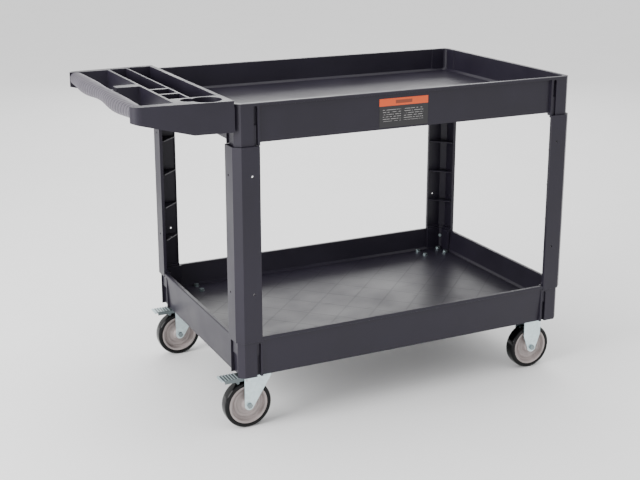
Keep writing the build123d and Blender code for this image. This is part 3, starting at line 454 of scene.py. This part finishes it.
# ---------------------------------------------------------------- mesh making
def grid_mesh(name, points, closed_u=False, closed_v=False):
    """Mesh of a grid of points, shape (rows, columns, 3), joined round either way if closed."""
    rows, columns, _ = points.shape
    number = np.arange(rows * columns).reshape(rows, columns)
    below = np.roll(number, -1, axis=0)
    right = np.roll(number, -1, axis=1)
    corner = np.roll(below, -1, axis=1)
    quads = np.stack([number, right, corner, below], axis=-1)
    quads = quads[:rows if closed_u else rows - 1, :columns if closed_v else columns - 1]
    return solid_mesh(name, points.reshape(-1, 3), quads.reshape(-1, 4))


def solid_mesh(name, vertices, faces):
    """Smooth-shaded mesh object from vertices and equal-sided faces."""
    mesh = bpy.data.meshes.new(name)
    mesh.from_pydata(vertices.tolist(), [], faces.tolist())
    mesh.shade_smooth()
    thing = bpy.data.objects.new(name, mesh)
    bpy.context.scene.collection.objects.link(thing)
    return thing


def finish_piece(thing, material, body, node):
    """Give a piece its finish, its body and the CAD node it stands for."""
    thing.data.materials.clear()
    thing.data.materials.append(material)
    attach(thing, body)
    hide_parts(node)


def rounded_path(corners, steps=6):
    """Profile through (radius, place, round) corners: straight runs joined by quadratic arcs.

    Each arc is (1-t)^2 A + 2t(1-t) P + t^2 B, with A and B the given distance from corner P.
    """
    spots = np.array([corner[:2] for corner in corners], dtype=float)
    t = np.linspace(0.0, 1.0, steps)[:, None]
    line = [spots[:1]]
    for before, here, after, corner in zip(spots[:-2], spots[1:-1], spots[2:], corners[1:-1]):
        first = here + (before - here) / np.linalg.norm(before - here) * corner[2]
        last = here + (after - here) / np.linalg.norm(after - here) * corner[2]
        line.append((1 - t) ** 2 * first + 2 * t * (1 - t) * here + t ** 2 * last)
    line.append(spots[-1:])
    return np.concatenate(line)


def turned(name, profile, centre, segments=112):
    """Solid of revolution about the axle, along Y.

    A profile point (r, y) goes to centre + (r sin a, y, r cos a) for a from 0 to a full turn.
    """
    angle = np.linspace(0.0, 2 * np.pi, segments, endpoint=False)[:, None]
    radius, along = profile[:, 0][None, :], profile[:, 1][None, :]
    x, z = radius * np.sin(angle), radius * np.cos(angle)
    points = np.stack([x, np.broadcast_to(along, x.shape), z], axis=-1)
    return grid_mesh(name, points + np.array(centre), closed_u=True, closed_v=True)


# ---------------------------------------------------------------- operators
def sizes():
    """The scene's cart sizes."""
    return bpy.context.scene.cart_sizes


def colours():
    """The scene's cart colours."""
    return bpy.context.scene.cart_colours


class CART_OT_finishes(bpy.types.Operator):
    """Give every carried CAD node the finish of its slot"""
    bl_idname = "cart.finishes"
    bl_label = "Finish the carried nodes"

    def execute(self, context):
        tone = colours()
        plastic = moulded_plastic("cart_plastic", tone.plastic)
        by_slot = {
            "cart_plastic": plastic,
            "grip_plastic": plastic,
            "label_print": label_film("label_print", tone.band, sizes().label_band),
            "tyre_rubber": glossy_tyre("tyre_rubber", tone.tyre),
            "hub_plastic": hub_plastic("hub_plastic", tone.hub),
            "zinc_steel": plated_steel("zinc_steel", tone.zinc),
            "pedal_steel": pressed_pedal("pedal_steel", scaled(tone.zinc, 0.5)),
            "bearing_steel": ground_steel("bearing_steel", (0.6, 0.6, 0.6)),
            "fastener_steel": plated_steel("fastener_steel", scaled(tone.zinc, 0.38), 0.34),
        }
        shelf = moulded_plastic("lower_shelf_plastic", tone.plastic, "lower_tray")
        for entry in frame["record"]["subparts"]:
            thing = frame["nodes"][entry["node"]]
            material = shelf if entry["node"] == "lower_tray" else by_slot[entry["material_slot"]]
            thing.data.materials.clear()
            thing.data.materials.append(material)
        return {"FINISHED"}


class CART_OT_grip(bpy.types.Operator):
    """Shape the ribbed two-lobed grip"""
    bl_idname = "cart.grip"
    bl_label = "Shape the grip"

    def execute(self, context):
        material = grip_plastic("grip_plastic_ribbed", colours().grip)
        finish_piece(ribbed_grip(), material, "cart", "handle_grip")
        return {"FINISHED"}


GRIP_ROWS_PER_RIB = 6
GRIP_SIDES = 72                 # points round a section
GRIP_END_ROUND = 1.6 * MM
GRIP_PLAIN_END = 7 * MM         # length over which the ribs grow from nothing
GRIP_SQUARENESS = 0.82          # power p below; 1 is an ellipse


def ribbed_grip():
    """Closed tube along Y with a superellipse section.

    With s from 0 to 1 along the grip and angle a round it, the section's half width is
    w = waist + swell b / 2 with b = sin^2(2 pi s), its half height is h + drop b / 2, and a point
    is (w |cos a|^p sgn cos a, y, h |sin a|^p sgn sin a), shrunk by the end rounding and by the rib
    depth times the cube of a raised cosine with one wave to a rib. The top stays level.
    """
    low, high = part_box("handle_grip")
    ribs, drop, swell = sizes().grip_ribs, sizes().lobe_drop, sizes().lobe_swell
    half_height = (high[2] - low[2] - drop) / 2
    waist = (high[0] - low[0] - swell) / 2
    length = high[1] - low[1]
    share = np.linspace(0.0, 1.0, ribs * GRIP_ROWS_PER_RIB + 1)[:, None]
    angle = np.linspace(0.0, 2 * np.pi, GRIP_SIDES, endpoint=False)[None, :]
    cosine, sine = np.cos(angle), np.sin(angle)
    lobe = np.sin(2 * np.pi * share) ** 2
    from_end = np.minimum(share, 1 - share) * length
    cap = np.sqrt(np.clip(1 - (1 - np.clip(from_end / GRIP_END_ROUND, 0, 1)) ** 2, 0, 1))
    wave = 0.5 - 0.5 * np.cos(2 * np.pi * share * ribs)
    growth = np.clip(from_end / GRIP_PLAIN_END, 0, 1) ** 2
    outward = np.clip(0.5 - 1.2 * cosine, 0, 1)
    inset = (1 - cap) * GRIP_END_ROUND + sizes().rib_depth * wave ** 3 * growth * outward
    width = waist + swell / 2 * lobe - inset
    tall = half_height + drop / 2 * lobe - inset
    axis_z = high[2] - half_height - drop / 2 * lobe
    x = middle("handle_grip")[0] + width * np.sign(cosine) * np.abs(cosine) ** GRIP_SQUARENESS
    z = axis_z + tall * np.sign(sine) * np.abs(sine) ** GRIP_SQUARENESS
    y = np.broadcast_to(low[1] + share * length, x.shape)
    points = np.stack([x, y, z], axis=-1)
    ends = [np.broadcast_to(points[row].mean(axis=0), points[row].shape)[None] for row in (0, -1)]
    return grid_mesh("grip_ribbed", np.concatenate([ends[0], points, ends[1]]), closed_v=True)


class CART_OT_wheels(bpy.types.Operator):
    """Turn the four tyres and hubs"""
    bl_idname = "cart.wheels"
    bl_label = "Turn the wheels"

    def execute(self, context):
        tone = colours()
        rubber = glossy_tyre("tyre_gloss", tone.tyre)
        plastic = hub_plastic("hub_satin", tone.hub)
        for corner in CORNERS:
            body, tyre, hub = f"wheel_{corner}", f"tyre_{corner}", f"hub_{corner}"
            thing = turned(f"tyre_turned_{corner}", tyre_profile(tyre, hub), middle(tyre))
            finish_piece(thing, rubber, body, tyre)
            thing = turned(f"hub_turned_{corner}", hub_profile(hub, tyre), middle(hub))
            finish_piece(thing, plastic, body, hub)
        return {"FINISHED"}


def half_sizes(node):
    """Outer radius and half width of a wheel piece."""
    low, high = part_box(node)
    return (high[2] - low[2]) / 2, (high[1] - low[1]) / 2


def tyre_profile(node, hub_node):
    """Tyre section: bore, side walls with a thin bead, round shoulders, slightly crowned tread.

    Half of it is given as (radius, place along the axle, round) corners.
    """
    radius, half = half_sizes(node)
    bore = half_sizes(hub_node)[0]
    crown = 0.4 * MM
    bead_inner, bead_outer = bore + 1.4 * MM, bore + 2.6 * MM
    side = [
        (bore, 0.0, 0),
        (bore, half - 1.2 * MM, 0.4 * MM),
        (bead_inner, half - 0.4 * MM, 0.8 * MM),
        (bead_outer, half, 0.6 * MM),
        (radius - crown, half, sizes().tyre_shoulder),
        (radius, 0.0, 0),
    ]
    return mirrored(rounded_path(side, steps=9))


def mirrored(half_line):
    """A profile's half and its mirror image across the wheel's middle, as one closed ring."""
    other = half_line[::-1] * np.array([1.0, -1.0])
    return np.concatenate([half_line, other[1:-1]])


def hub_profile(node, tyre_node):
    """Hub section: bore, chamfered boss, dished web with a raised ring, band under the tyre.

    Half of it is given as (radius, place along the axle, round) corners.
    """
    rim, reach = half_sizes(node)
    face = half_sizes(tyre_node)[1] - 1.0 * MM
    bore, boss, ring = 6.06 * MM, 17 * MM, 34 * MM
    web = 3.5 * MM                  # half thickness of the web
    side = [
        (bore, 0.0, 0),
        (bore, reach, 0.3 * MM),
        (boss - 3.5 * MM, reach, 1.0 * MM),
        (boss, reach - 3 * MM, 1.4 * MM),
        (boss + 2.5 * MM, web + 2 * MM, 2.2 * MM),
        (ring - 6 * MM, web + 0.4 * MM, 2.0 * MM),
        (ring - 3 * MM, web + 3.4 * MM, 1.3 * MM),
        (ring + 2 * MM, web + 3.6 * MM, 1.3 * MM),
        (ring + 5 * MM, web + 0.6 * MM, 1.6 * MM),
        (rim - 8.5 * MM, web + 1 * MM, 1.6 * MM),
        (rim - 5.5 * MM, face, 1.5 * MM),
        (rim, face, 0.8 * MM),
        (rim, 0.0, 0),
    ]
    return mirrored(rounded_path(side))


class CART_OT_studio(bpy.types.Operator):
    """Lay the floor, hang the lights and set the camera"""
    bl_idname = "cart.studio"
    bl_label = "Set the studio"

    def execute(self, context):
        studio_floor()
        studio_lights()
        studio_camera()
        return {"FINISHED"}


def studio_floor():
    """Pale floor plane, wide enough to reach past the frame."""
    half_width = 14.0
    corners = np.array([[-1.0, -1.0, 0.0], [1.0, -1.0, 0.0], [1.0, 1.0, 0.0], [-1.0, 1.0, 0.0]])
    floor = solid_mesh("studio_floor", corners * half_width, np.array([[0, 1, 2, 3]]))
    floor.data.materials.append(paper_floor("studio_paper"))


def soft_light(name, place, target, size, power):
    """Area light that points at a target and can't be seen itself."""
    lamp = bpy.data.lights.new(name, "AREA")
    lamp.shape = "RECTANGLE"
    lamp.size, lamp.size_y = size
    lamp.energy = power
    thing = bpy.data.objects.new(name, lamp)
    thing.location = place
    thing.rotation_euler = (Vector(target) - Vector(place)).to_track_quat("-Z", "Y").to_euler()
    thing.visible_camera = False
    bpy.context.scene.collection.objects.link(thing)


def studio_lights():
    """White room; soft lights at the handle end and above, and one behind to gloss the shelves."""
    target = (0.1, 0.0, 0.5)
    world = bpy.data.worlds.new("studio_world")
    world.use_nodes = True
    backdrop = world.node_tree.nodes["Background"]
    backdrop.inputs["Color"].default_value = (1.0, 1.0, 1.0, 1.0)
    backdrop.inputs["Strength"].default_value = bpy.context.scene.cart_studio.room_light
    bpy.context.scene.world = world
    soft_light("left_softbox", (-3.6, -0.6, 1.9), target, size=(2.0, 2.0), power=190.0)
    soft_light("top_softbox", (0.3, 0.6, 3.4), target, size=(3.0, 2.4), power=60.0)
    soft_light("back_softbox", (1.9, 4.0, 1.9), target, size=(2.6, 1.6), power=42.0)


def studio_camera():
    """Camera at the chosen azimuth, elevation and place."""
    studio = bpy.context.scene.cart_studio
    lens = bpy.data.cameras.new("camera")
    lens.lens = studio.lens
    lens.shift_y = studio.shift
    thing = bpy.data.objects.new("camera", lens)
    azimuth, elevation = studio.azimuth, studio.elevation
    level = math.cos(elevation)
    back = Vector((math.sin(azimuth) * level, -math.cos(azimuth) * level, math.sin(elevation)))
    thing.location = studio.eye
    thing.rotation_euler = (-back).to_track_quat("-Z", "Y").to_euler()
    bpy.context.scene.collection.objects.link(thing)
    bpy.context.scene.camera = thing


class CART_PT_panel(bpy.types.Panel):
    """Sidebar panel of the cart's operators"""
    bl_idname = "CART_PT_panel"
    bl_label = "Service Cart"
    bl_space_type = "VIEW_3D"
    bl_region_type = "UI"
    bl_category = "Cart"

    def draw(self, context):
        scene = context.scene
        for group in (scene.cart_sizes, scene.cart_colours, scene.cart_studio):
            for name in group.__annotations__:
                self.layout.prop(group, name)
        for step in STEPS:
            self.layout.operator(step.bl_idname)


STEPS = (CART_OT_finishes, CART_OT_grip, CART_OT_wheels, CART_OT_studio)
CLASSES = (CartSizes, CartColours, CartStudio, *STEPS, CART_PT_panel)


def register():
    """Register the classes and hang the settings on the scene."""
    for cls in CLASSES:
        bpy.utils.register_class(cls)
    bpy.types.Scene.cart_sizes = PointerProperty(type=CartSizes)
    bpy.types.Scene.cart_colours = PointerProperty(type=CartColours)
    bpy.types.Scene.cart_studio = PointerProperty(type=CartStudio)


def unregister():
    """Take the settings and classes away."""
    del bpy.types.Scene.cart_sizes, bpy.types.Scene.cart_colours, bpy.types.Scene.cart_studio
    for cls in reversed(CLASSES):
        bpy.utils.unregister_class(cls)


def main():
    """Build everything."""
    register()
    bpy.ops.cart.finishes()
    bpy.ops.cart.grip()
    bpy.ops.cart.wheels()
    bpy.ops.cart.studio()


if __name__ == "__main__":
    main()
